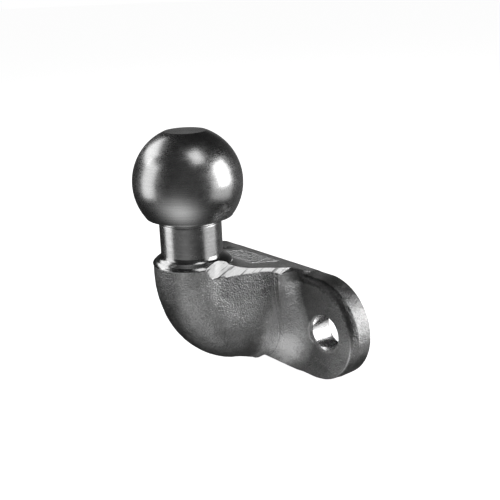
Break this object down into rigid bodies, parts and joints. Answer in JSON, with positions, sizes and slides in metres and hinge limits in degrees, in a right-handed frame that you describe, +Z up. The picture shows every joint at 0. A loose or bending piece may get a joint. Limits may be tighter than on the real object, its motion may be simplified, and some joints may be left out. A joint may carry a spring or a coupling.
{
  "type": "tow ball",
  "caption": "Forged steel tow ball: a turned ball on a short neck and collar, on an elbow arm that ends in an upright round-ended flange with bolt holes",
  "frame": {"origin": "on the rear mounting face of the flange, midway between the bolt holes", "axes": "+X along the line of the bolt holes, +Y out of the mounting face towards the towbar, so the ball lies towards -Y, +Z up along the ball's neck"},
  "size_m": [0.1268, 0.077, 0.1204],
  "materials": {
    "turned_ball": "fine-turned steel, satin polish",
    "turned_neck": "turned steel, satin",
    "turned_collar": "turned steel, satin",
    "forged_arm": "drop-forged and shot-blasted steel with a ground edge",
    "forged_flange": "drop-forged and shot-blasted steel, drilled holes",
    "stamped_pad": null
  },
  "bodies": {
    "root": {"ball": "turned_ball", "neck": "turned_neck", "collar": "turned_collar", "arm": "forged_arm", "flange": "forged_flange", "marking_pad": "stamped_pad"}
  },
  "joints": []
}
